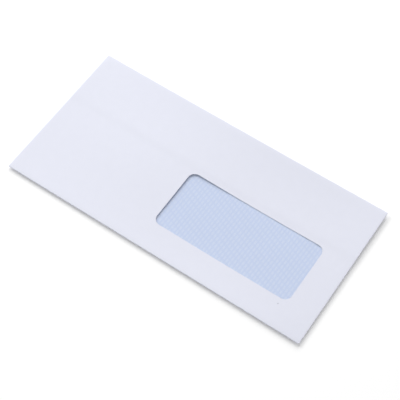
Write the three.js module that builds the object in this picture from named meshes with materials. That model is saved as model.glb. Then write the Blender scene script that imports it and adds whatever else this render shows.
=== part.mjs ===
// A DL window envelope, lying face up and empty, with its seal flap folded under the back.
// One die-cut sheet of paper is folded four times: the bottom fold carries the back panel, the
// two side folds carry the side flaps that close the pocket, and the top fold carries the seal
// flap. The sheet is meshed flat, as the printer cuts it, and each of its points is then carried
// round its fold. Last, one function bends the whole stack of layers to the way it lies: the
// pocket stands open a little, and the edges curl up from the table.
// Millimetres, +X along the length, +Y to the top edge, +Z up out of the front panel.
import * as THREE from 'three';

// Outer size of the folded envelope, and its paper.
const ENVELOPE_LENGTH = 220;
const ENVELOPE_HEIGHT = 110;
const PAPER_THICKNESS = 0.1;

// The window, measured from the right and the bottom edge.
const WINDOW_LENGTH = 100;
const WINDOW_HEIGHT = 45;
const WINDOW_TO_RIGHT_EDGE = 20;
const WINDOW_TO_BOTTOM_EDGE = 20;
const WINDOW_CORNER_RADIUS = 5;

// The clear film behind the window, and its ring of glue.
const FILM_THICKNESS = 0.03;
const FILM_OVERLAP = 7.5;
const FILM_CORNER_RADIUS = 1;
const RING_TO_WINDOW = 1.5;
const RING_TO_FILM_EDGE = 1;

// The back panel, which folds up over the side flaps.
const BACK_PANEL_HEIGHT = 92;
const BACK_PANEL_SIDE_INSET = 1.5;
const BACK_PANEL_TAPER_HEIGHT = 5;
const BACK_PANEL_CORNER_RADIUS = 6;

// The side flaps inside the pocket, and the glue that holds the back panel to them.
const SIDE_FLAP_WIDTH = 15;
const SIDE_FLAP_LOWER_CHAMFER = 10;
const SIDE_FLAP_UPPER_CHAMFER = 18;
const SIDE_FLAP_CORNER_RADIUS = 2;
const SEAM_GLUE_WIDTH = 8;
const SEAM_GLUE_TO_FLAP_EDGE = 2;
const SEAM_GLUE_TO_FLAP_CORNER = 2;

// The seal flap, and the gum strip along its free edge.
const SEAL_FLAP_DEPTH = 38;
const SEAL_FLAP_TAPER = 12;
const SEAL_FLAP_CORNER_RADIUS = 8;
const GUM_WIDTH = 10;
const GUM_TO_FLAP_EDGE = 2;
const GUM_TO_FLAP_SIDE = 6;

// The printed tint on the inside of the back panel.
const TINT_THICKNESS = 0.02;
const TINT_MARGIN = 1;

// Glue between two layers, with the clearance that each face of a thin layer keeps.
const GLUE_THICKNESS = 0.03;
const LAYER_CLEARANCE = 0.02;
const GLUE_GAP = GLUE_THICKNESS + 2 * LAYER_CLEARANCE;

// Folds: the opening inside a side fold, and the notch that frees two folds at each corner.
const SIDE_FOLD_OPENING = 0.3;
const CORNER_NOTCH = 0.6;
const FOLD_SEGMENTS = 6;
const CORNER_SEGMENTS = 6;

// How the envelope lies: the pocket's rise left of the window, the front panel's sag round the
// window, and the lift of the four edges.
const POCKET_RISE = 0.8;
const POCKET_MIDDLE_TO_WINDOW = 30;
const POCKET_FALL_LENGTH = 75;
const WINDOW_SAG = 0.25;
const SAG_START_LENGTH = 50;
const SAG_END_LENGTH = 45;
const END_LIFT_TOP_EDGE = 1.5;
const END_LIFT_BOTTOM_EDGE = 1.1;
const LEVEL_LENGTH = 60;
const LONG_EDGE_LIFT = 1.05;
const LEVEL_HEIGHT = 40;
const FLAP_STEP_WIDTH = 6;
const FLAP_STEP_MARGIN = 1;
const GRID_STEP = 8;
const LEAST_GRID_STEP = 1;
const SAME_POINT = 0.0001;

// Heights of the flat layers, from the table up.
const FLAP_TOP = PAPER_THICKNESS;
const BACK_BOTTOM = FLAP_TOP + GLUE_GAP;
const BACK_TOP = BACK_BOTTOM + PAPER_THICKNESS;
const SIDE_BOTTOM = BACK_TOP + GLUE_GAP;
const SIDE_TOP = SIDE_BOTTOM + PAPER_THICKNESS;
const FRONT_BOTTOM = SIDE_TOP + SIDE_FOLD_OPENING;
const FRONT_TOP = FRONT_BOTTOM + PAPER_THICKNESS;
const FILM_TOP = FRONT_BOTTOM - GLUE_GAP;
const FILM_BOTTOM = FILM_TOP - FILM_THICKNESS;

// The folds. Each has the line where its curve starts, measured from the middle of the front
// panel, and the radius of the paper's middle.
const HALF_LENGTH = ENVELOPE_LENGTH / 2;
const HALF_HEIGHT = ENVELOPE_HEIGHT / 2;
const TOP_FOLD = foldAt(HALF_HEIGHT, 0);
const BOTTOM_FOLD = foldAt(HALF_HEIGHT, BACK_BOTTOM);
const SIDE_FOLD = foldAt(HALF_LENGTH, SIDE_BOTTOM);
const FOLD_END_X = HALF_LENGTH - CORNER_NOTCH;
const FOLD_END_Y = HALF_HEIGHT - CORNER_NOTCH;

// Edges that more than one piece uses.
const WINDOW_RIGHT = HALF_LENGTH - WINDOW_TO_RIGHT_EDGE;
const WINDOW_LEFT = WINDOW_RIGHT - WINDOW_LENGTH;
const WINDOW_MIDDLE = (WINDOW_LEFT + WINDOW_RIGHT) / 2;
const WINDOW_BOTTOM = -HALF_HEIGHT + WINDOW_TO_BOTTOM_EDGE;
const WINDOW_TOP = WINDOW_BOTTOM + WINDOW_HEIGHT;
const BACK_PANEL_TOP = -HALF_HEIGHT + BACK_PANEL_HEIGHT;
const SIDE_FLAP_EDGE = HALF_LENGTH - SIDE_FLAP_WIDTH;
const SEAL_FLAP_EDGE = HALF_HEIGHT - SEAL_FLAP_DEPTH;

// The fold that brings a panel's outer face down to the given height.
function foldAt(edge, height) {
  const outerRadius = (FRONT_TOP - height) / 2;
  return { start: edge - outerRadius, radius: outerRadius - PAPER_THICKNESS / 2 };
}

function foldLength(fold) {
  return Math.PI * fold.radius;
}

// Where a folded panel's line lies on the flat sheet, from its distance beyond the middle.
function unfolded(fold, distance) {
  return 2 * fold.start + foldLength(fold) - distance;
}

// Carries a point of the flat sheet round a fold. It returns the distance from the middle and
// the height, for a point that lies the given amount outside the middle of the paper.
function foldedPoint(fold, distance, outside) {
  const middleHeight = FRONT_TOP - PAPER_THICKNESS / 2;
  const beyond = Math.max(0, distance - fold.start);
  const angle = Math.min(beyond / fold.radius, Math.PI);
  const arm = fold.radius + outside;
  return {
    place: distance - beyond + arm * Math.sin(angle) - Math.max(0, beyond - foldLength(fold)),
    height: middleHeight - fold.radius + arm * Math.cos(angle),
  };
}

// A corner of an outline: its place, and the radius that rounds it.
function corner(x, y, radius = 0) {
  return { point: new THREE.Vector2(x, y), radius };
}

// The points of a closed outline through the corners, with each rounded corner as an arc.
function outlinePoints(corners) {
  return corners.flatMap(({ point, radius }, index) => {
    if (radius === 0) {
      return [point];
    }
    const toBefore = corners.at(index - 1).point.clone().sub(point).normalize();
    const toAfter = corners[(index + 1) % corners.length].point.clone().sub(point).normalize();
    const halfAngle = Math.acos(toBefore.dot(toAfter)) / 2;
    const toCentre = toBefore.clone().add(toAfter).setLength(radius / Math.sin(halfAngle));
    const centre = point.clone().add(toCentre);
    const start = point.clone().addScaledVector(toBefore, radius / Math.tan(halfAngle));
    const turn = Math.sign(toAfter.cross(toBefore)) * (Math.PI - 2 * halfAngle);
    return Array.from({ length: CORNER_SEGMENTS + 1 }, (_, step) => (
      start.clone().rotateAround(centre, (turn * step) / CORNER_SEGMENTS)
    ));
  });
}

function rectangle(left, bottom, right, top, radius = 0) {
  return outlinePoints([
    corner(left, bottom, radius),
    corner(right, bottom, radius),
    corner(right, top, radius),
    corner(left, top, radius),
  ]);
}

// A rectangle that is larger than the window by the same margin on every side.
function aroundWindow(margin, radius) {
  return rectangle(
    WINDOW_LEFT - margin, WINDOW_BOTTOM - margin, WINDOW_RIGHT + margin, WINDOW_TOP + margin,
    radius,
  );
}

// The part of an outline on one side of a line: axis is x or y, and side is 1 or -1.
function clipped(points, axis, line, side) {
  const reach = (point) => side * (point[axis] - line);
  return points.flatMap((point, index) => {
    const next = points[(index + 1) % points.length];
    const kept = reach(point) >= 0 ? [point] : [];
    if (reach(point) * reach(next) < 0) {
      const crossing = point.clone().lerp(next, reach(point) / (reach(point) - reach(next)));
      crossing[axis] = line;
      kept.push(crossing);
    }
    return kept;
  });
}

// Splits an outline with a hole into two outlines without one, at a line x = middle that runs
// through the hole. Each half follows the outline, and then the hole's edge on its side.
function splitAtHole(outline, hole, middle) {
  const onLine = (point) => point.x === middle;
  const openAtLine = (points) => {
    const first = points.findIndex((point, i) => onLine(point) && onLine(points.at(i - 1)));
    return [...points.slice(first), ...points.slice(0, first)];
  };
  const holeBackwards = [...hole].reverse();
  return [-1, 1].map((side) => [
    ...openAtLine(clipped(outline, 'x', middle, side)),
    ...openAtLine(clipped(holeBackwards, 'x', middle, side)),
  ]);
}

// The lines at which a flat panel can bend: every full grid step between its two ends, and the
// extra lines, apart from an extra line that another one nearly meets.
function gridLines(halfSize, extraLines = []) {
  const lines = [0];
  for (let line = GRID_STEP; line < halfSize; line += GRID_STEP) {
    lines.push(line, -line);
  }
  const isNew = (line) => lines.every((other) => Math.abs(other - line) >= LEAST_GRID_STEP);
  return [...lines, ...extraLines.filter(isNew)].sort((a, b) => a - b);
}

const GRID_X = gridLines(HALF_LENGTH);
const GRID_Y = gridLines(HALF_HEIGHT, [0, 0.5, 1].map(
  (share) => SEAL_FLAP_EDGE - FLAP_STEP_MARGIN - share * FLAP_STEP_WIDTH,
));

// The lines across one fold of the flat sheet, and across the panel beyond it.
function linesBeyond(fold, panelEdge, panelLines) {
  const across = Array.from(
    { length: FOLD_SEGMENTS + 1 },
    (_, step) => fold.start + (foldLength(fold) * step) / FOLD_SEGMENTS,
  );
  const onPanel = panelLines.filter((line) => line > panelEdge && line < fold.start);
  return [...across, ...onPanel.map((line) => unfolded(fold, line))];
}

// Triangulates flat outlines cell by cell, so that the mesh can bend at every grid line.
function flatMesh(outlines, linesX, linesY) {
  const points = [];
  const indexOf = new Map();
  const pointIndex = (point) => {
    const key = [point.x, point.y].map((value) => Math.round(value / SAME_POINT)).join(' ');
    if (!indexOf.has(key)) {
      indexOf.set(key, points.length);
      points.push(point);
    }
    return indexOf.get(key);
  };
  const strips = (outline, axis, lines) => {
    const bounds = [-Infinity, ...lines, Infinity];
    return bounds.slice(1).map((high, i) => (
      clipped(clipped(outline, axis, bounds[i], 1), axis, high, -1)
    ));
  };
  const triangles = outlines
    .flatMap((outline) => strips(outline, 'x', linesX))
    .flatMap((strip) => strips(strip, 'y', linesY))
    .filter((cell) => cell.length > 2 && Math.abs(THREE.ShapeUtils.area(cell)) > SAME_POINT)
    .flatMap((cell) => THREE.ShapeUtils.triangulateShape(cell, [])
      .map((triangle) => triangle.map((i) => pointIndex(cell[i]))));
  return { points, triangles };
}

function smoothStep(share) {
  const t = THREE.MathUtils.clamp(share, 0, 1);
  return t * t * (3 - 2 * t);
}

// The share of an edge's lift at a place: none on the level part, and all of it at the edge.
function curlShare(place, levelSize, halfSize) {
  const beyond = Math.max(0, Math.abs(place) - levelSize / 2) / (halfSize - levelSize / 2);
  return beyond * beyond;
}

// The front panel's rise, halfway up the envelope: highest left of the window, where no hole
// weakens the panel, and below the level of its side folds round the window.
function frontRise(x) {
  const middle = WINDOW_LEFT - POCKET_MIDDLE_TO_WINDOW;
  const fallLength = x < middle ? HALF_LENGTH + middle : POCKET_FALL_LENGTH;
  const risen = smoothStep(1 - Math.abs(x - middle) / fallLength);
  const sagged = smoothStep((x - WINDOW_LEFT) / SAG_START_LENGTH)
    * smoothStep((HALF_LENGTH - x) / SAG_END_LENGTH);
  return POCKET_RISE * risen - WINDOW_SAG * sagged;
}

// How far a point of the flat stack moves up as the envelope takes its resting shape.
function liftAt(x, y, z) {
  const v = y / HALF_HEIGHT;
  const frontShare = THREE.MathUtils.clamp((z - SIDE_TOP) / (FILM_BOTTOM - SIDE_TOP), 0, 1);
  const pocket = frontShare * frontRise(x) * (1 - v * v);
  const endLift = THREE.MathUtils.lerp(END_LIFT_BOTTOM_EDGE, END_LIFT_TOP_EDGE, (v + 1) / 2);
  const endShare = curlShare(x, LEVEL_LENGTH, HALF_LENGTH);
  const longEdgeShare = curlShare(y, LEVEL_HEIGHT, HALF_HEIGHT) * (1 - endShare);
  const curl = endLift * endShare + LONG_EDGE_LIFT * longEdgeShare;
  const overFlap = THREE.MathUtils.clamp((z - FLAP_TOP) / GLUE_GAP, 0, 1);
  const pastFlap = smoothStep((SEAL_FLAP_EDGE - FLAP_STEP_MARGIN - y) / FLAP_STEP_WIDTH);
  return pocket + curl - BACK_BOTTOM * overFlap * pastFlap;
}

// Gives a flat mesh its two faces and the wall between them, and bends it to its resting shape.
// place(x, y, face) says where a point goes: face is 1 on the upper or outer side, else -1.
function thickened({ points, triangles }, place) {
  const faces = [1, -1].map((face) => points.map(({ x, y }) => place(x, y, face)));
  const position = faces.flat().flatMap(([x, y, z]) => [x, y, z + liftAt(x, y, z)]);
  const edges = new Map();
  triangles.forEach(([a, b, c]) => {
    [[a, b], [b, c], [c, a]].forEach(([from, to]) => edges.set(`${from} ${to}`, [from, to]));
  });
  const outer = [...edges.values()].filter(([from, to]) => !edges.has(`${to} ${from}`));
  const below = points.length;
  const index = [
    ...triangles,
    ...triangles.map(([a, b, c]) => [c + below, b + below, a + below]),
    ...outer.flatMap(([from, to]) => [
      [from, from + below, to + below],
      [from, to + below, to],
    ]),
  ];
  const geometry = new THREE.BufferGeometry();
  geometry.setAttribute('position', new THREE.Float32BufferAttribute(position, 3));
  geometry.setIndex(index.flat());
  geometry.computeVertexNormals();
  return geometry;
}

// A flat layer between two heights.
function layer(outlines, bottom, top) {
  const mesh = flatMesh(outlines, GRID_X, GRID_Y);
  return thickened(mesh, (x, y, face) => [x, y, face > 0 ? top : bottom]);
}

// The right half of the sheet's outline as it is cut, from the back panel's free edge to the
// seal flap's. Between two panels the notches keep the folds apart.
function rightHalfOfSheet() {
  const backSide = HALF_LENGTH - BACK_PANEL_SIDE_INSET;
  const backTaperEnd = BOTTOM_FOLD.start - BACK_PANEL_TAPER_HEIGHT;
  const sideFoldEnd = SIDE_FOLD.start + foldLength(SIDE_FOLD);
  const sideFlapEdge = unfolded(SIDE_FOLD, SIDE_FLAP_EDGE);
  const sealFlapCorner = FOLD_END_X - SEAL_FLAP_TAPER;
  return [
    corner(backSide, -unfolded(BOTTOM_FOLD, -BACK_PANEL_TOP), BACK_PANEL_CORNER_RADIUS),
    corner(backSide, -unfolded(BOTTOM_FOLD, backTaperEnd)),
    corner(FOLD_END_X, -BOTTOM_FOLD.start - foldLength(BOTTOM_FOLD)),
    corner(FOLD_END_X, -BOTTOM_FOLD.start),
    corner(SIDE_FOLD.start, -BOTTOM_FOLD.start),
    corner(SIDE_FOLD.start, -FOLD_END_Y),
    corner(sideFoldEnd, -FOLD_END_Y),
    corner(sideFlapEdge, -FOLD_END_Y + SIDE_FLAP_LOWER_CHAMFER, SIDE_FLAP_CORNER_RADIUS),
    corner(sideFlapEdge, FOLD_END_Y - SIDE_FLAP_UPPER_CHAMFER, SIDE_FLAP_CORNER_RADIUS),
    corner(sideFoldEnd, FOLD_END_Y),
    corner(SIDE_FOLD.start, FOLD_END_Y),
    corner(SIDE_FOLD.start, TOP_FOLD.start),
    corner(FOLD_END_X, TOP_FOLD.start),
    corner(FOLD_END_X, TOP_FOLD.start + foldLength(TOP_FOLD)),
    corner(sealFlapCorner, unfolded(TOP_FOLD, SEAL_FLAP_EDGE), SEAL_FLAP_CORNER_RADIUS),
  ];
}

// The paper: one sheet with the window cut out, folded round its four folds.
function paperBlank() {
  const right = rightHalfOfSheet();
  const left = right.map(({ point, radius }) => corner(-point.x, point.y, radius)).reverse();
  const outline = outlinePoints([...right, ...left]);
  const halves = splitAtHole(outline, aroundWindow(0, WINDOW_CORNER_RADIUS), WINDOW_MIDDLE);
  const sideLines = [FOLD_END_X, ...linesBeyond(SIDE_FOLD, SIDE_FLAP_EDGE, GRID_X)];
  const topLines = linesBeyond(TOP_FOLD, SEAL_FLAP_EDGE, GRID_Y);
  const linesUpside = GRID_Y.map((line) => -line);
  const bottomLines = linesBeyond(BOTTOM_FOLD, -BACK_PANEL_TOP, linesUpside);
  const ascending = (a, b) => a - b;
  const linesX = [...sideLines.map((line) => -line), ...GRID_X, ...sideLines].sort(ascending);
  const linesY = [
    ...bottomLines.map((line) => -line), -FOLD_END_Y, ...GRID_Y, FOLD_END_Y, ...topLines,
  ].sort(ascending);
  return thickened(flatMesh(halves, linesX, linesY), (x, y, face) => {
    const outside = (face * PAPER_THICKNESS) / 2;
    if (Math.abs(x) > SIDE_FOLD.start) {
      const { place, height } = foldedPoint(SIDE_FOLD, Math.abs(x), outside);
      return [Math.sign(x) * place, y, height];
    }
    const fold = y > 0 ? TOP_FOLD : BOTTOM_FOLD;
    const { place, height } = foldedPoint(fold, Math.abs(y), outside);
    return [x, Math.sign(y) * place, height];
  });
}

function windowFilm() {
  return layer([aroundWindow(FILM_OVERLAP, FILM_CORNER_RADIUS)], FILM_BOTTOM, FILM_TOP);
}

function filmGlue() {
  const outer = aroundWindow(FILM_OVERLAP - RING_TO_FILM_EDGE, FILM_CORNER_RADIUS);
  const inner = aroundWindow(RING_TO_WINDOW, WINDOW_CORNER_RADIUS + RING_TO_WINDOW);
  const bottom = FILM_TOP + LAYER_CLEARANCE;
  return layer(splitAtHole(outer, inner, WINDOW_MIDDLE), bottom, bottom + GLUE_THICKNESS);
}

function innerTint() {
  const edge = SIDE_FLAP_EDGE - TINT_MARGIN;
  const bottom = BACK_TOP + LAYER_CLEARANCE;
  const outline = rectangle(
    -edge, -BOTTOM_FOLD.start + TINT_MARGIN, edge, BACK_PANEL_TOP - TINT_MARGIN,
  );
  return layer([outline], bottom, bottom + TINT_THICKNESS);
}

// One seam's strip of glue: 1 for the right side flap, -1 for the left.
function seamGlue(sideSign) {
  const near = sideSign * (SIDE_FLAP_EDGE + SEAM_GLUE_TO_FLAP_EDGE);
  const far = near + sideSign * SEAM_GLUE_WIDTH;
  const top = FOLD_END_Y - SIDE_FLAP_UPPER_CHAMFER - SEAM_GLUE_TO_FLAP_CORNER;
  const bottom = -FOLD_END_Y + SIDE_FLAP_LOWER_CHAMFER + SEAM_GLUE_TO_FLAP_CORNER;
  const outline = rectangle(Math.min(near, far), bottom, Math.max(near, far), top);
  const height = BACK_TOP + LAYER_CLEARANCE;
  return layer([outline], height, height + GLUE_THICKNESS);
}

function sealGum() {
  const halfLength = FOLD_END_X - SEAL_FLAP_TAPER - GUM_TO_FLAP_SIDE;
  const bottom = SEAL_FLAP_EDGE + GUM_TO_FLAP_EDGE;
  const height = FLAP_TOP + LAYER_CLEARANCE;
  const outline = rectangle(-halfLength, bottom, halfLength, bottom + GUM_WIDTH);
  return layer([outline], height, height + GLUE_THICKNESS);
}

function paperMaterial() {
  return new THREE.MeshStandardMaterial({ color: 0xeceff7, roughness: 0.9, metalness: 0 });
}

function tintMaterial() {
  return new THREE.MeshStandardMaterial({ color: 0xccd8f0, roughness: 0.9, metalness: 0 });
}

function glueMaterial() {
  return new THREE.MeshStandardMaterial({ color: 0xe6e2d2, roughness: 0.45, metalness: 0 });
}

function filmMaterial() {
  return new THREE.MeshStandardMaterial({
    color: 0xf4f8ff, roughness: 0.08, metalness: 0, transparent: true, opacity: 0.15,
  });
}

function named(name, geometry, material) {
  const mesh = new THREE.Mesh(geometry, material);
  mesh.name = name;
  return mesh;
}

const envelope = new THREE.Group();
envelope.add(named('envelope_blank', paperBlank(), paperMaterial()));
envelope.add(named('window_film', windowFilm(), filmMaterial()));
envelope.add(named('window_film_glue', filmGlue(), glueMaterial()));
envelope.add(named('inner_tint', innerTint(), tintMaterial()));
envelope.add(named('right_seam_glue', seamGlue(1), glueMaterial()));
envelope.add(named('left_seam_glue', seamGlue(-1), glueMaterial()));
envelope.add(named('seal_flap_gum', sealGum(), glueMaterial()));

export default envelope;
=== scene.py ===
# %% [markdown]
# # A window envelope, face up on a white table
#
# The real object is one die-cut sheet of white paper, printed pale blue on the inside, folded
# round four creases and glued at two seams, with a clear film glued behind the window.
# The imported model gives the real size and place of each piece, and this script gives them
# their fine shape and finish. Everything is in metres, with +Z up out of the front panel.

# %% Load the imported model
import math

import bmesh
import bpy
from mathutils import Matrix, Vector


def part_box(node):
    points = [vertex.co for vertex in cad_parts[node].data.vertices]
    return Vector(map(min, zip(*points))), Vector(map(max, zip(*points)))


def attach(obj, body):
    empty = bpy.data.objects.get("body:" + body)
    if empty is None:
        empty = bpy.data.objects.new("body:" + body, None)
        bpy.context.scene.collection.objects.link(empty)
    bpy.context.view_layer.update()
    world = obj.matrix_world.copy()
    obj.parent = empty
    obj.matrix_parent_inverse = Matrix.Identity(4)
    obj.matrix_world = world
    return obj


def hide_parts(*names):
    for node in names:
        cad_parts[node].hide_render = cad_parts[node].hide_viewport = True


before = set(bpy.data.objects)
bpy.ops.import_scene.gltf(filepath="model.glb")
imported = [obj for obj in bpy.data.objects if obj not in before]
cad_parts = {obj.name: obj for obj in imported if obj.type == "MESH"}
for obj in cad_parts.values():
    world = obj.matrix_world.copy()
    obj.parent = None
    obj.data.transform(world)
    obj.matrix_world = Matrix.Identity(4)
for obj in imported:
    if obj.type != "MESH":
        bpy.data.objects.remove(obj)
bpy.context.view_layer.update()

MM = 0.001
print("pieces in the packed model:", sorted(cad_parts))

# %% [markdown]
# ## The camera
#
# The photograph looks down on the envelope from beyond its lower right edge. A camera is
# easiest to place by what it looks at: a point on the table, the direction from that point
# back to the camera, and the distance. The lens is long, so the far edges hardly converge.

# %% Camera
AIM = Vector((5.7, -4.9, 0.5)) * MM
AZIMUTH = math.radians(30.8)
ELEVATION = math.radians(59.0)
ROLL = math.radians(3.5)
DISTANCE = 739 * MM
LENS = 104.0
SENSOR = 36
NEAREST_SEEN = 10 * MM


def direction(azimuth, elevation):
    """The way from the object to something seen at this azimuth, counted from the front."""
    level = math.cos(elevation)
    return Vector((math.sin(azimuth) * level, -math.cos(azimuth) * level, math.sin(elevation)))


def facing(towards):
    """A rotation that turns a camera's or a lamp's back to the given direction."""
    return towards.to_track_quat("Z", "Y").to_matrix().to_4x4()


def place_camera():
    data = bpy.data.cameras.new("photo_camera")
    data.lens = LENS
    data.sensor_width = SENSOR
    data.clip_start = NEAREST_SEEN
    camera = bpy.data.objects.new("photo_camera", data)
    bpy.context.scene.collection.objects.link(camera)
    backward = direction(AZIMUTH, ELEVATION)
    spot = Matrix.Translation(AIM + DISTANCE * backward)
    camera.matrix_world = spot @ facing(backward) @ Matrix.Rotation(ROLL, 4, "Z")
    bpy.context.scene.camera = camera
    return camera


camera = place_camera()
print("camera at", [round(value, 3) for value in camera.location])

# %% [markdown]
# ## Helpers for node trees
#
# A material is a small program. Short helpers keep it readable. The main two add a node with
# its values, and start a node group whose sockets are named as a maker would name them.

# %% Node helpers
def feed(tree, socket, value):
    """Sets an input to a plain value, or links another node's output to it."""
    if isinstance(value, bpy.types.NodeSocket):
        tree.links.new(value, socket)
    else:
        socket.default_value = value


def add_node(tree, kind, inputs=None, **settings):
    """A node of the given kind. Inputs are given by name or by number."""
    node = tree.nodes.new(kind)
    for name, value in settings.items():
        setattr(node, name, value)
    for name, value in (inputs or {}).items():
        feed(tree, node.inputs[name], value)
    return node


def start_group(name, inputs, outputs):
    """A node group with float or vector sockets, and the sockets of its two end nodes."""
    kinds = {"value": "NodeSocketFloat", "vector": "NodeSocketVector"}
    tree = bpy.data.node_groups.new(name, "ShaderNodeTree")
    for socket, (kind, value) in inputs.items():
        made = tree.interface.new_socket(socket, in_out="INPUT", socket_type=kinds[kind])
        if value is not None:
            made.default_value = value
    for socket, kind in outputs.items():
        tree.interface.new_socket(socket, in_out="OUTPUT", socket_type=kinds[kind])
    return tree, tree.nodes.new("NodeGroupInput").outputs, tree.nodes.new("NodeGroupOutput").inputs


def maths(tree, operation, first, second=0.0, third=0.0):
    """The result of one sum on two or three values or outputs."""
    return add_node(
        tree, "ShaderNodeMath", {0: first, 1: second, 2: third}, operation=operation
    ).outputs[0]


def blended(tree, factor, first, second):
    """The output of a colour mix from first to second."""
    colours = {0: factor, 6: first, 7: second}
    return add_node(tree, "ShaderNodeMix", colours, data_type="RGBA").outputs[2]


def use_group(tree, group, inputs):
    """A group placed in a tree, with its inputs set by name. Returns its outputs."""
    return add_node(tree, "ShaderNodeGroup", inputs, node_tree=group).outputs


def linear(red, green, blue):
    """A colour as a picture editor gives it, 0 to 255, in linear light by the sRGB curve."""
    def channel(value):
        share = value / 255
        return share / 12.92 if share <= 0.04045 else ((share + 0.055) / 1.055) ** 2.4
    return (channel(red), channel(green), channel(blue), 1.0)


def start_material(name):
    """A material with only its output, and the tree to build it in."""
    material = bpy.data.materials.new(name)
    material.use_nodes = True
    material.node_tree.nodes.clear()
    return material, material.node_tree


def finish_material(tree, surface):
    output = tree.nodes.new("ShaderNodeOutputMaterial")
    tree.links.new(surface, output.inputs["Surface"])


print("node helpers ready")

# %% [markdown]
# ## The room
#
# The photograph has a plain white ground that keeps only a thin soft shadow. The table is
# white, and what the camera sees of it gets a little brighter, because no lamp reaches all of
# it alike. One wide lamp stands low beyond the top edge, a little to the left, so that a soft
# shadow falls along the bottom and the right edge. A small lamp nearby on the left brightens
# that end and shades the window's left edge, and a pale sky fills the rest.

# %% Table, sky and lamps
TABLE_SIZE = 6.0
TABLE_GLOW = 0.115
SKY_STRENGTH = 0.46
BACK_LAMP = {
    "azimuth": math.radians(-152), "elevation": math.radians(30), "distance": 3.0,
    "size": 2.2, "watts": 67.2,
}
LEFT_LAMP = {
    "azimuth": math.radians(-104), "elevation": math.radians(32), "distance": 1.35,
    "size": 0.42, "watts": 5.7,
}
WHITE = (1.0, 1.0, 1.0, 1.0)


def seen_rays(tree):
    """1 for rays of the camera, of mirrors and of clear things, which show the backdrop."""
    path = tree.nodes.new("ShaderNodeLightPath").outputs
    either = maths(tree, "MAXIMUM", path["Is Camera Ray"], path["Is Glossy Ray"])
    return maths(tree, "MAXIMUM", either, path["Is Transmission Ray"])


def make_table():
    material, tree = start_material("white_table")
    board = add_node(tree, "ShaderNodeBsdfDiffuse", {"Color": WHITE})
    glow = add_node(tree, "ShaderNodeEmission", {
        "Color": WHITE, "Strength": maths(tree, "MULTIPLY", seen_rays(tree), TABLE_GLOW),
    })
    both = add_node(tree, "ShaderNodeAddShader", {0: board.outputs[0], 1: glow.outputs[0]})
    finish_material(tree, both.outputs[0])
    mesh = bpy.data.meshes.new("table")
    half = TABLE_SIZE / 2
    corners = [(-half, -half, 0), (half, -half, 0), (half, half, 0), (-half, half, 0)]
    mesh.from_pydata(corners, [], [(0, 1, 2, 3)])
    mesh.materials.append(material)
    table = bpy.data.objects.new("table", mesh)
    bpy.context.scene.collection.objects.link(table)


def make_sky():
    world = bpy.data.worlds.new("pale_sky")
    world.use_nodes = True
    tree = world.node_tree
    tree.nodes.clear()
    strength = maths(tree, "MULTIPLY_ADD", seen_rays(tree), 1 - SKY_STRENGTH, SKY_STRENGTH)
    sky = add_node(tree, "ShaderNodeBackground", {"Color": WHITE, "Strength": strength})
    output = tree.nodes.new("ShaderNodeOutputWorld")
    tree.links.new(sky.outputs[0], output.inputs["Surface"])
    bpy.context.scene.world = world


def add_lamp(name, azimuth, elevation, distance, size, watts):
    data = bpy.data.lights.new(name, "AREA")
    data.shape = "DISK"
    data.size = size
    data.energy = watts
    lamp = bpy.data.objects.new(name, data)
    towards = direction(azimuth, elevation)
    lamp.matrix_world = Matrix.Translation(distance * towards) @ facing(towards)
    bpy.context.scene.collection.objects.link(lamp)


make_table()
make_sky()
add_lamp("back_lamp", **BACK_LAMP)
add_lamp("left_lamp", **LEFT_LAMP)
bpy.context.scene.view_settings.view_transform = "Standard"
print("room ready")

# %% [markdown]
# ## Sizes
#
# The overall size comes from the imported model. The rest are the real sizes of such an envelope,
# the same as the model's: paper of a tenth of a millimetre, and layers a glue line apart.

# %% Sizes of the envelope, from the table up
low, high = (Vector(end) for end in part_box("envelope_blank"))
HALF_LENGTH = (high.x - low.x) / 2
HALF_HEIGHT = (high.y - low.y) / 2
PAPER = 0.1 * MM
GLUE = 0.03 * MM
CLEARANCE = 0.02 * MM
GLUE_GAP = GLUE + 2 * CLEARANCE
SIDE_FOLD_OPENING = 0.3 * MM
FILM = 0.03 * MM
TINT = 0.02 * MM

FLAP_TOP = PAPER
BACK_BOTTOM = FLAP_TOP + GLUE_GAP
BACK_TOP = BACK_BOTTOM + PAPER
SIDE_BOTTOM = BACK_TOP + GLUE_GAP
SIDE_TOP = SIDE_BOTTOM + PAPER
FRONT_BOTTOM = SIDE_TOP + SIDE_FOLD_OPENING
FRONT_TOP = FRONT_BOTTOM + PAPER
FILM_TOP = FRONT_BOTTOM - GLUE_GAP
FILM_BOTTOM = FILM_TOP - FILM
print("length and height in mm:", round(2 * HALF_LENGTH / MM, 2), round(2 * HALF_HEIGHT / MM, 2))

# %% Sizes of the window, the panels and the flaps
WINDOW_LENGTH = 100 * MM
WINDOW_HEIGHT = 45 * MM
WINDOW_TO_EDGE = 20 * MM
WINDOW_CORNER = 5 * MM
BACK_PANEL_HEIGHT = 92 * MM
BACK_PANEL_INSET = 1.5 * MM
BACK_PANEL_TAPER = 5 * MM
BACK_PANEL_CORNER = 6 * MM
SIDE_FLAP_WIDTH = 15 * MM
SIDE_FLAP_LOWER_CHAMFER = 10 * MM
SIDE_FLAP_UPPER_CHAMFER = 18 * MM
SIDE_FLAP_CORNER = 2 * MM
SEAL_FLAP_HEIGHT = 38 * MM
SEAL_FLAP_TAPER = 12 * MM
SEAL_FLAP_CORNER = 8 * MM
NOTCH = 0.6 * MM

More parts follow.
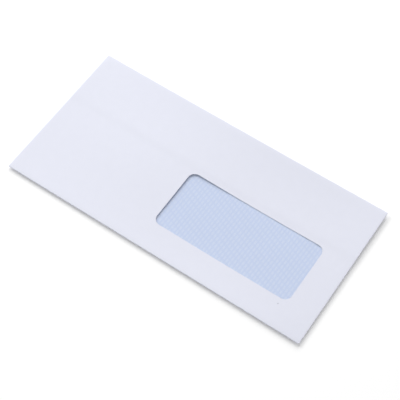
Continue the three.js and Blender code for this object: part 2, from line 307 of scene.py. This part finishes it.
WINDOW_RIGHT = HALF_LENGTH - WINDOW_TO_EDGE
WINDOW_LEFT = WINDOW_RIGHT - WINDOW_LENGTH
WINDOW_MIDDLE = (WINDOW_LEFT + WINDOW_RIGHT) / 2
WINDOW_BOTTOM = -HALF_HEIGHT + WINDOW_TO_EDGE
WINDOW_TOP = WINDOW_BOTTOM + WINDOW_HEIGHT
BACK_PANEL_TOP = -HALF_HEIGHT + BACK_PANEL_HEIGHT
BACK_PANEL_SIDE = HALF_LENGTH - BACK_PANEL_INSET
SIDE_FLAP_EDGE = HALF_LENGTH - SIDE_FLAP_WIDTH
SEAL_FLAP_EDGE = HALF_HEIGHT - SEAL_FLAP_HEIGHT
FOLD_END_X = HALF_LENGTH - NOTCH
FOLD_END_Y = HALF_HEIGHT - NOTCH
print("window from", round(WINDOW_LEFT / MM), "to", round(WINDOW_RIGHT / MM), "mm")

# %% [markdown]
# ## How the envelope lies
#
# Nothing made of paper is flat. The pocket stands open a little, left of the window where no
# hole weakens the front panel, and round the window the panel sags towards the back. The back
# panel steps down where the seal flap under it ends, and all four edges curl up from the
# table, most of all at the top corners.
# One function says how far a point of the flat stack of layers rises. Each layer goes through
# it, so that the layers bend together and never cut through each other.

# %% The resting shape
POCKET_RISE = 0.8 * MM
POCKET_TO_WINDOW = 30 * MM
POCKET_MIDDLE = WINDOW_LEFT - POCKET_TO_WINDOW
POCKET_FALL = 75 * MM
WINDOW_SAG = 0.25 * MM
SAG_START_LENGTH = 50 * MM
SAG_END_LENGTH = 45 * MM
END_LIFT_TOP = 1.5 * MM
END_LIFT_BOTTOM = 1.1 * MM
LEVEL_LENGTH = 60 * MM
LONG_EDGE_LIFT = 1.05 * MM
LEVEL_HEIGHT = 40 * MM
FLAP_STEP = 6 * MM
FLAP_STEP_MARGIN = 1 * MM


def clamp(value):
    return min(1.0, max(0.0, value))


def smooth(share):
    t = clamp(share)
    return t * t * (3 - 2 * t)


def curl_share(place, level_size, half_size):
    """The share of an edge's lift: none on the level part, and all of it at the edge."""
    beyond = max(0.0, abs(place) - level_size / 2) / (half_size - level_size / 2)
    return beyond * beyond


def front_rise(x):
    """The front panel's rise halfway up the envelope: the pocket's rise and the window's sag."""
    fall = HALF_LENGTH + POCKET_MIDDLE if x < POCKET_MIDDLE else POCKET_FALL
    risen = smooth(1 - abs(x - POCKET_MIDDLE) / fall)
    sagged = smooth((x - WINDOW_LEFT) / SAG_START_LENGTH)
    sagged *= smooth((HALF_LENGTH - x) / SAG_END_LENGTH)
    return POCKET_RISE * risen - WINDOW_SAG * sagged


def lift(x, y, z):
    """How far a point of the flat stack moves up."""
    v = y / HALF_HEIGHT
    front_share = clamp((z - SIDE_TOP) / (FILM_BOTTOM - SIDE_TOP))
    pocket = front_share * front_rise(x) * (1 - v * v)
    end_lift = END_LIFT_BOTTOM + (END_LIFT_TOP - END_LIFT_BOTTOM) * (v + 1) / 2
    end_share = curl_share(x, LEVEL_LENGTH, HALF_LENGTH)
    long_edge_share = curl_share(y, LEVEL_HEIGHT, HALF_HEIGHT) * (1 - end_share)
    curl = end_lift * end_share + LONG_EDGE_LIFT * long_edge_share
    over_flap = clamp((z - FLAP_TOP) / GLUE_GAP)
    past_flap = smooth((SEAL_FLAP_EDGE - FLAP_STEP_MARGIN - y) / FLAP_STEP)
    return pocket + curl - BACK_BOTTOM * over_flap * past_flap


print("rise of the pocket in mm:", round(lift(POCKET_MIDDLE, 0, FRONT_TOP) / MM, 2))

# %% [markdown]
# ## Folding one flat sheet
#
# A folded sheet could be modelled as separate panels joined by bent strips, but then every
# joint has to be matched by hand. It is simpler to do what the factory does: cut the sheet
# flat, and carry each point of it round its fold. A fold needs only two numbers, the line
# where its curve starts and the radius of the paper's middle.

# %% Folds
class Fold:
    """A half turn of the paper that ends with its outer face at the given height."""

    def __init__(self, edge, height):
        outer_radius = (FRONT_TOP - height) / 2
        self.start = edge - outer_radius
        self.radius = outer_radius - PAPER / 2
        self.length = math.pi * self.radius

    def unfolded(self, distance):
        """Where a folded panel's line lies on the flat sheet."""
        return 2 * self.start + self.length - distance

    def carried(self, distance, outside):
        """The distance from the middle and the height of a point of the flat sheet."""
        beyond = max(0.0, distance - self.start)
        angle = min(beyond / self.radius, math.pi)
        arm = self.radius + outside
        past = max(0.0, beyond - self.length)
        place = distance - beyond + arm * math.sin(angle) - past
        height = FRONT_TOP - PAPER / 2 - self.radius + arm * math.cos(angle)
        return place, height


TOP_FOLD = Fold(HALF_HEIGHT, 0)
BOTTOM_FOLD = Fold(HALF_HEIGHT, BACK_BOTTOM)
SIDE_FOLD = Fold(HALF_LENGTH, SIDE_BOTTOM)


def fold_sheet(x, y, face):
    """Where a point of the flat sheet comes to lie: face is 1 for the outside, -1 for inside.

    A folded place can be negative, because the back panel reaches past the middle. So the side
    of the fold multiplies it, and copysign is applied to 1 alone.
    """
    outside = face * PAPER / 2
    if abs(x) > SIDE_FOLD.start:
        place, height = SIDE_FOLD.carried(abs(x), outside)
        return math.copysign(1, x) * place, y, height
    fold = TOP_FOLD if y > 0 else BOTTOM_FOLD
    place, height = fold.carried(abs(y), outside)
    return x, math.copysign(1, y) * place, height


print("fold radii in mm:", [round(f.radius / MM, 3) for f in (TOP_FOLD, BOTTOM_FOLD, SIDE_FOLD)])

# %% [markdown]
# ## Outlines
#
# A die-cut outline is a list of corners, some of them rounded. A face with a hole in it is not
# possible in Blender, so a window is made by cutting the outline in two at a line through the
# hole: each half then follows the outer edge, and comes back along the hole's edge.

# %% Outline helpers
CORNER_STEPS = 12
SAME_PLACE = 1e-8


def outline_points(corners):
    """The points of a closed outline, from corners of (x, y) or (x, y, radius)."""
    places = [Vector(corner[:2]) for corner in corners]
    points = []
    for index, corner in enumerate(corners):
        here = places[index]
        radius = corner[2] if len(corner) > 2 else 0
        if radius == 0:
            points.append(here)
            continue
        to_before = (places[index - 1] - here).normalized()
        to_after = (places[(index + 1) % len(places)] - here).normalized()
        half_angle = to_before.angle(to_after) / 2
        centre = here + (to_before + to_after).normalized() * radius / math.sin(half_angle)
        arm = here + to_before * radius / math.tan(half_angle) - centre
        turn = math.copysign(math.pi - 2 * half_angle, to_after.cross(to_before))
        for step in range(CORNER_STEPS + 1):
            points.append(centre + Matrix.Rotation(turn * step / CORNER_STEPS, 2) @ arm)
    return points


def rectangle(left, bottom, right, top, radius=0):
    corners = ((left, bottom), (right, bottom), (right, top), (left, top))
    return outline_points([(x, y, radius) for x, y in corners])


def around_window(margin, radius):
    return rectangle(
        WINDOW_LEFT - margin, WINDOW_BOTTOM - margin,
        WINDOW_RIGHT + margin, WINDOW_TOP + margin, radius,
    )


def one_side(points, line, side):
    """The part of an outline with x beyond the line, on side 1 or -1."""
    kept = []
    for index, here in enumerate(points):
        after = points[(index + 1) % len(points)]
        reach = side * (here.x - line)
        next_reach = side * (after.x - line)
        if reach >= 0:
            kept.append(here)
        if reach * next_reach < 0:
            crossing = here.lerp(after, reach / (reach - next_reach))
            kept.append(Vector((line, crossing.y)))
    return kept


def open_at(points, line):
    """The same outline, begun where it leaves the line."""
    on_line = [abs(point.x - line) < SAME_PLACE for point in points]
    first = next(i for i in range(len(points)) if on_line[i] and on_line[i - 1])
    return points[first:] + points[:first]


def with_hole(outline, hole, line):
    """Two outlines that together leave the hole open."""
    backwards = hole[::-1]
    return [
        open_at(one_side(outline, line, side), line)
        + open_at(one_side(backwards, line, side), line)
        for side in (-1, 1)
    ]


print("a rounded corner has", CORNER_STEPS + 1, "points")

# %% [markdown]
# ## From an outline to a bent sheet
#
# The flat face is cut along a fine grid with bmesh's bisect, so that it can follow the curves.
# Then every point is written twice, once for each side of the sheet, and walls close the cut
# edges. The flat place of each point is kept as the UV map: prints and fibres follow the sheet
# round its folds, as they do on paper that is printed before it is folded.

# %% Sheet maker
GRID = 2 * MM
FOLD_STEPS = 10
SHARP_ANGLE = math.radians(40)


def grid_lines(first, last):
    count = max(1, round((last - first) / GRID))
    return [first + (last - first) * step / count for step in range(count + 1)]


def flat_cells(outlines, lines_x, lines_y):
    """A bmesh of the outlines, cut along every line."""
    cells = bmesh.new()
    for outline in outlines:
        cells.faces.new([cells.verts.new((point.x, point.y, 0)) for point in outline])
    bmesh.ops.remove_doubles(cells, verts=cells.verts[:], dist=SAME_PLACE)
    for axis, lines in ((Vector((1, 0, 0)), lines_x), (Vector((0, 1, 0)), lines_y)):
        for line in lines:
            bmesh.ops.bisect_plane(
                cells, geom=cells.verts[:] + cells.edges[:] + cells.faces[:],
                plane_co=axis * line, plane_no=axis, dist=SAME_PLACE,
            )
    return cells


def make_sheet(name, cells, place, materials):
    """A closed sheet from flat cells. place(x, y, face) gives a point of the flat stack.

    Of two materials, the first is for the outside and the cut edges, the second for the inside.
    """
    cells.verts.index_update()
    flat = [(vert.co.x, vert.co.y) for vert in cells.verts]
    faces = [[vert.index for vert in face.verts] for face in cells.faces]
    if cells.faces[:][0].normal.z < 0:
        faces = [face[::-1] for face in faces]
    count = len(flat)
    points = []
    for face in (1, -1):
        for x, y in flat:
            px, py, pz = place(x, y, face)
            points.append((px, py, pz + lift(px, py, pz)))
    uses = {}
    for face in faces:
        for a, b in zip(face, face[1:] + face[:1]):
            uses.setdefault(frozenset((a, b)), []).append((a, b))
    walls = [
        (pairs[0][1], pairs[0][0], pairs[0][0] + count, pairs[0][1] + count)
        for pairs in uses.values() if len(pairs) == 1
    ]
    below = [[index + count for index in reversed(face)] for face in faces]
    mesh = bpy.data.meshes.new(name)
    mesh.from_pydata(points, [], faces + below + walls)
    uv = mesh.uv_layers.new(name="flat_sheet")
    for loop in mesh.loops:
        x, y = flat[loop.vertex_index % count]
        uv.data[loop.index].uv = (x, y)
    for material in materials:
        mesh.materials.append(material)
    if len(materials) > 1:
        slots = [0] * len(faces) + [1] * len(below) + [0] * len(walls)
        mesh.polygons.foreach_set("material_index", slots)
    mesh.polygons.foreach_set("use_smooth", [True] * len(mesh.polygons))
    mesh.set_sharp_from_angle(angle=SHARP_ANGLE)
    mesh.validate()
    cells.free()
    piece = bpy.data.objects.new(name, mesh)
    bpy.context.scene.collection.objects.link(piece)
    print(name, "has", len(mesh.polygons), "faces")
    return piece


def make_layer(name, outlines, bottom, top, materials):
    """A level layer of the stack, such as the film or a strip of glue."""
    xs = [point.x for outline in outlines for point in outline]
    ys = [point.y for outline in outlines for point in outline]
    cells = flat_cells(outlines, grid_lines(min(xs), max(xs)), grid_lines(min(ys), max(ys)))
    return make_sheet(
        name, cells, lambda x, y, face: (x, y, top if face > 0 else bottom), materials
    )


print("grid of the fine sheets in mm:", GRID / MM)

# %% [markdown]
# ## Paper
#
# Uncoated envelope paper is almost plain, and that is what makes it hard: a flat colour looks
# like plastic. Held close it shows a cloudy formation, where fibres lie thicker and thinner,
# and a fine felt of fibres that roughens the surface. Both are one node group, because the
# white outside and the printed inside share them.

# %% Fibre group
CLOUD_SCALE = 180.0
FIBRE_SCALE = 1500.0
FIBRE_STRETCH = 2.6
CLOUD_HEIGHT = 0.35


def make_fibre_group():
    tree, inputs, outputs = start_group(
        "paper_fibres",
        {"Flat place": ("vector", None), "Cloudiness": ("value", 0.02), "Fibre": ("value", 0.02)},
        {"Tone": "value", "Height": "value"},
    )
    place = inputs["Flat place"]
    clouds = add_node(tree, "ShaderNodeTexNoise", {
        "Vector": place, "Scale": CLOUD_SCALE, "Detail": 4.0, "Roughness": 0.6,
    })
    stretched = add_node(tree, "ShaderNodeMapping", {
        "Vector": place, "Scale": (1.0, FIBRE_STRETCH, 1.0),
    })
    fibres = add_node(tree, "ShaderNodeTexNoise", {
        "Vector": stretched.outputs[0], "Scale": FIBRE_SCALE, "Detail": 5.0, "Roughness": 0.7,
        "Distortion": 1.2,
    })
    cloud, fibre = clouds.outputs["Fac"], fibres.outputs["Fac"]
    cloud_tone = maths(tree, "MULTIPLY", maths(tree, "SUBTRACT", cloud, 0.5), inputs["Cloudiness"])
    fibre_tone = maths(tree, "MULTIPLY", maths(tree, "SUBTRACT", fibre, 0.5), inputs["Fibre"])
    tone = maths(tree, "ADD", maths(tree, "ADD", cloud_tone, fibre_tone), 1.0)
    height = maths(tree, "MULTIPLY_ADD", cloud, CLOUD_HEIGHT, fibre)
    tree.links.new(tone, outputs["Tone"])
    tree.links.new(height, outputs["Height"])
    return tree


fibre_group = make_fibre_group()
print("made", fibre_group.name)

# %% [markdown]
# ## The security print
#
# The inside is printed with a lattice of fine lines so that a letter can't be read through the
# paper. In the photograph the lines along the window's short side are the strongest, and a
# paler family crosses them at a slant. Each line is a narrow band round a multiple of its
# pitch: Ping-Pong gives the distance to the nearest multiple, and Map Range turns it to a mask
# with a soft edge, between two shares of the line's width.

# %% Ruled line group
FULL_INK_SHARE = 0.3
NO_INK_SHARE = 0.7


def make_line_group():
    tree, inputs, outputs = start_group(
        "ruled_lines",
        {
            "Flat place": ("vector", None), "Across": ("vector", (1.0, 0.0, 0.0)),
            "Pitch": ("value", 2 * MM), "Line": ("value", 0.8 * MM),
        },
        {"Mask": "value"},
    )
    along = add_node(tree, "ShaderNodeVectorMath", {
        0: inputs["Flat place"], 1: inputs["Across"],
    }, operation="DOT_PRODUCT").outputs["Value"]
    distance = maths(tree, "PINGPONG", along, maths(tree, "MULTIPLY", inputs["Pitch"], 0.5))
    full_ink = maths(tree, "MULTIPLY", inputs["Line"], FULL_INK_SHARE)
    no_ink = maths(tree, "MULTIPLY", inputs["Line"], NO_INK_SHARE)
    mask = add_node(tree, "ShaderNodeMapRange", {
        "Value": distance, "From Min": full_ink, "From Max": no_ink, "To Min": 1.0, "To Max": 0.0,
    })
    tree.links.new(mask.outputs[0], outputs["Mask"])
    return tree


line_group = make_line_group()
print("made", line_group.name)

# %% Paper materials
PAPER_COLOUR = linear(233, 235, 247)
PRINT_GROUND = linear(212, 223, 246)
PRINT_LINE = linear(204, 217, 244)
STRONG_LINES = {"angle": math.radians(-2), "pitch": 2.3 * MM, "width": 1.0 * MM, "ink": 1.0}
PALE_LINES = {"angle": math.radians(68), "pitch": 3.7 * MM, "width": 1.5 * MM, "ink": 0.67}
PAPER_ROUGHNESS = 0.88
PAPER_SPECULAR = 0.25
PAPER_BUMP = 0.12
RELIEF_DEPTH = 0.05 * MM
PAPER_FIBRES = {"Cloudiness": 0.03, "Fibre": 0.03}
SPECK_PLACE = Vector((85.6 * MM, -39.1 * MM, 0.0))
SPECK_CORE = 0.225 * MM
SPECK_RADIUS = 0.45 * MM
SPECK_COLOUR = linear(178, 179, 192)


def flat_place(tree):
    return add_node(tree, "ShaderNodeUVMap", uv_map="flat_sheet").outputs[0]


def paper_shader(tree, colour, fibres, bump):
    """Matt paper with its fibres in colour and relief. Returns the shader's output."""
    grey = add_node(tree, "ShaderNodeCombineXYZ", {
        0: fibres["Tone"], 1: fibres["Tone"], 2: fibres["Tone"],
    })
    toned = add_node(tree, "ShaderNodeVectorMath", {1: grey.outputs[0]}, operation="MULTIPLY")
    if isinstance(colour, bpy.types.NodeSocket):
        tree.links.new(colour, toned.inputs[0])
    else:
        toned.inputs[0].default_value = colour[:3]
    relief = add_node(tree, "ShaderNodeBump", {
        "Height": fibres["Height"], "Strength": bump, "Distance": RELIEF_DEPTH,
    })
    return add_node(tree, "ShaderNodeBsdfPrincipled", {
        "Base Color": toned.outputs[0], "Roughness": PAPER_ROUGHNESS,
        "Specular IOR Level": PAPER_SPECULAR, "Normal": relief.outputs[0],
    }).outputs[0]


def make_outside_paper():
    material, tree = start_material("white_envelope_paper")
    place = flat_place(tree)
    fibres = use_group(tree, fibre_group, {"Flat place": place, **PAPER_FIBRES})
    to_speck = add_node(
        tree, "ShaderNodeVectorMath", {0: place, 1: SPECK_PLACE}, operation="DISTANCE"
    )
    speck = add_node(tree, "ShaderNodeMapRange", {
        "Value": to_speck.outputs["Value"], "From Min": SPECK_CORE,
        "From Max": SPECK_RADIUS, "To Min": 1.0, "To Max": 0.0,
    })
    colour = blended(tree, speck.outputs[0], PAPER_COLOUR, SPECK_COLOUR)
    finish_material(tree, paper_shader(tree, colour, fibres, PAPER_BUMP))
    return material


def make_printed_paper():
    material, tree = start_material("printed_inside_of_paper")
    place = flat_place(tree)
    fibres = use_group(tree, fibre_group, {"Flat place": place, **PAPER_FIBRES})
    ink = 0.0
    for lines in (STRONG_LINES, PALE_LINES):
        mask = use_group(tree, line_group, {
            "Flat place": place, "Pitch": lines["pitch"], "Line": lines["width"],
            "Across": Vector((math.cos(lines["angle"]), math.sin(lines["angle"]), 0.0)),
        })["Mask"]
        ink = maths(tree, "MULTIPLY_ADD", mask, lines["ink"], ink)
    colour = blended(tree, ink, PRINT_GROUND, PRINT_LINE)
    finish_material(tree, paper_shader(tree, colour, fibres, PAPER_BUMP))
    return material


outside_paper = make_outside_paper()
printed_paper = make_printed_paper()
print("made", outside_paper.name, "and", printed_paper.name)

# %% [markdown]
# ## Clear film
#
# The film is thin enough to bend no light, so it needs no refraction: it lets light straight
# through, and mirrors a little of it, more at a low angle. Fresnel gives that share. It is
# used on front faces only: seen from within the film, Fresnel would turn low light back.

# %% Film and glue materials
FILM_IOR = 1.5
FILM_ROUGHNESS = 0.12
GUM_COLOUR = linear(232, 226, 205)
GUM_FIBRES = {"Cloudiness": 0.2, "Fibre": 0.05}
GUM_BUMP = 0.3


def make_film_material():
    material, tree = start_material("clear_window_film")
    clear = add_node(tree, "ShaderNodeBsdfTransparent", {"Color": WHITE})
    gloss = add_node(tree, "ShaderNodeBsdfGlossy", {"Color": WHITE, "Roughness": FILM_ROUGHNESS})
    fresnel = add_node(tree, "ShaderNodeFresnel", {"IOR": FILM_IOR})
    within = tree.nodes.new("ShaderNodeNewGeometry").outputs["Backfacing"]
    front_only = maths(tree, "SUBTRACT", 1.0, within)
    mirrored = maths(tree, "MULTIPLY", fresnel.outputs[0], front_only)
    film = add_node(tree, "ShaderNodeMixShader", {
        0: mirrored, 1: clear.outputs[0], 2: gloss.outputs[0],
    })
    finish_material(tree, film.outputs[0])
    return material


def make_gum_material():
    material, tree = start_material("dried_gum")
    fibres = use_group(tree, fibre_group, {"Flat place": flat_place(tree), **GUM_FIBRES})
    finish_material(tree, paper_shader(tree, GUM_COLOUR, fibres, GUM_BUMP))
    return material


film_material = make_film_material()
gum_material = make_gum_material()
print("made", film_material.name, "and", gum_material.name)

# %% [markdown]
# ## The folded sheet
#
# The die-cut outline runs from the back panel's free edge, past the notches at the corners and
# round the side flap, to the seal flap's edge, and its left half mirrors the right.

# %% Outline of the cut sheet
def right_half_of_sheet():
    side_fold_end = SIDE_FOLD.start + SIDE_FOLD.length
    side_flap_edge = SIDE_FOLD.unfolded(SIDE_FLAP_EDGE)
    back_taper_end = BOTTOM_FOLD.start - BACK_PANEL_TAPER
    return [
        (BACK_PANEL_SIDE, -BOTTOM_FOLD.unfolded(-BACK_PANEL_TOP), BACK_PANEL_CORNER),
        (BACK_PANEL_SIDE, -BOTTOM_FOLD.unfolded(back_taper_end), 0),
        (FOLD_END_X, -BOTTOM_FOLD.start - BOTTOM_FOLD.length, 0),
        (FOLD_END_X, -BOTTOM_FOLD.start, 0),
        (SIDE_FOLD.start, -BOTTOM_FOLD.start, 0),
        (SIDE_FOLD.start, -FOLD_END_Y, 0),
        (side_fold_end, -FOLD_END_Y, 0),
        (side_flap_edge, -FOLD_END_Y + SIDE_FLAP_LOWER_CHAMFER, SIDE_FLAP_CORNER),
        (side_flap_edge, FOLD_END_Y - SIDE_FLAP_UPPER_CHAMFER, SIDE_FLAP_CORNER),
        (side_fold_end, FOLD_END_Y, 0),
        (SIDE_FOLD.start, FOLD_END_Y, 0),
        (SIDE_FOLD.start, TOP_FOLD.start, 0),
        (FOLD_END_X, TOP_FOLD.start, 0),
        (FOLD_END_X, TOP_FOLD.start + TOP_FOLD.length, 0),
        (FOLD_END_X - SEAL_FLAP_TAPER, TOP_FOLD.unfolded(SEAL_FLAP_EDGE), SEAL_FLAP_CORNER),
    ]


def lines_beyond(fold, panel_edge):
    """The cuts across one fold of the flat sheet, and across the panel beyond it."""
    across = [fold.start + fold.length * step / FOLD_STEPS for step in range(FOLD_STEPS + 1)]
    return across + grid_lines(fold.start + fold.length, fold.unfolded(panel_edge))[1:-1]


def make_folded_sheet():
    right = right_half_of_sheet()
    left = [(-x, y, radius) for x, y, radius in reversed(right)]
    outline = outline_points(right + left)
    halves = with_hole(outline, around_window(0, WINDOW_CORNER), WINDOW_MIDDLE)
    side_lines = lines_beyond(SIDE_FOLD, SIDE_FLAP_EDGE)
    lines_x = grid_lines(-SIDE_FOLD.start, SIDE_FOLD.start)[1:-1]
    lines_x += side_lines + [-line for line in side_lines]
    lines_y = grid_lines(-BOTTOM_FOLD.start, TOP_FOLD.start)[1:-1]
    lines_y += lines_beyond(TOP_FOLD, SEAL_FLAP_EDGE)
    lines_y += [-line for line in lines_beyond(BOTTOM_FOLD, -BACK_PANEL_TOP)]
    cells = flat_cells(halves, lines_x, lines_y)
    return make_sheet("folded_paper", cells, fold_sheet, [outside_paper, printed_paper])


folded_paper = make_folded_sheet()

# %% [markdown]
# ## What the sheet holds
#
# The film lies close under the front panel on its ring of glue. The tint lies on the back
# panel's inner face and stops at the side flaps, where the seam glue begins. The gum dries on
# the seal flap's inner side, along its free edge.

# %% Film, tint, glue and gum
FILM_OVERLAP = 7.5 * MM
FILM_CORNER = 1 * MM
RING_TO_WINDOW = 1.5 * MM
RING_TO_FILM_EDGE = 1 * MM
TINT_MARGIN = 1 * MM
SEAM_WIDTH = 8 * MM
SEAM_TO_FLAP_EDGE = 2 * MM
GUM_WIDTH = 10 * MM
GUM_TO_FLAP_EDGE = 2 * MM
GUM_TO_FLAP_SIDE = 6 * MM

window_film = make_layer(
    "clear_film", [around_window(FILM_OVERLAP, FILM_CORNER)], FILM_BOTTOM, FILM_TOP,
    [film_material],
)
ring = with_hole(
    around_window(FILM_OVERLAP - RING_TO_FILM_EDGE, FILM_CORNER),
    around_window(RING_TO_WINDOW, WINDOW_CORNER + RING_TO_WINDOW), WINDOW_MIDDLE,
)
film_glue = make_layer(
    "film_glue_ring", ring, FILM_TOP + CLEARANCE, FILM_TOP + CLEARANCE + GLUE, [gum_material]
)
tint_edge = SIDE_FLAP_EDGE - TINT_MARGIN
tint_outline = rectangle(
    -tint_edge, -BOTTOM_FOLD.start + TINT_MARGIN, tint_edge, BACK_PANEL_TOP - TINT_MARGIN
)
inner_tint = make_layer(
    "printed_tint", [tint_outline], BACK_TOP + CLEARANCE, BACK_TOP + CLEARANCE + TINT,
    [printed_paper],
)
seam_near = SIDE_FLAP_EDGE + SEAM_TO_FLAP_EDGE
seam_top = FOLD_END_Y - SIDE_FLAP_UPPER_CHAMFER - SEAM_TO_FLAP_EDGE
seam_bottom = -FOLD_END_Y + SIDE_FLAP_LOWER_CHAMFER + SEAM_TO_FLAP_EDGE
seams = {}
for side, near in (("right", seam_near), ("left", -seam_near - SEAM_WIDTH)):
    seams[side] = make_layer(
        side + "_seam_strip", [rectangle(near, seam_bottom, near + SEAM_WIDTH, seam_top)],
        BACK_TOP + CLEARANCE, BACK_TOP + CLEARANCE + GLUE, [gum_material],
    )
gum_half = FOLD_END_X - SEAL_FLAP_TAPER - GUM_TO_FLAP_SIDE
gum_bottom = SEAL_FLAP_EDGE + GUM_TO_FLAP_EDGE
seal_gum = make_layer(
    "gum_strip", [rectangle(-gum_half, gum_bottom, gum_half, gum_bottom + GUM_WIDTH)],
    FLAP_TOP + CLEARANCE, FLAP_TOP + CLEARANCE + GLUE, [gum_material],
)

# %% [markdown]
# ## One body for every piece
#
# Nothing moves on its own, so every piece rides on the one body, and the solid of the imported
# model that it stands for is hidden.

# %% Ride on the body, and hide the imported solids
stands_for = (
    (folded_paper, "envelope_blank", "white_paper"),
    (window_film, "window_film", "clear_film"),
    (film_glue, "window_film_glue", "dried_glue"),
    (inner_tint, "inner_tint", "security_print"),
    (seams["right"], "right_seam_glue", "dried_glue"),
    (seams["left"], "left_seam_glue", "dried_glue"),
    (seal_gum, "seal_flap_gum", "dried_glue"),
)
for piece, node, slot in stands_for:
    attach(piece, "root")
    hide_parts(node)
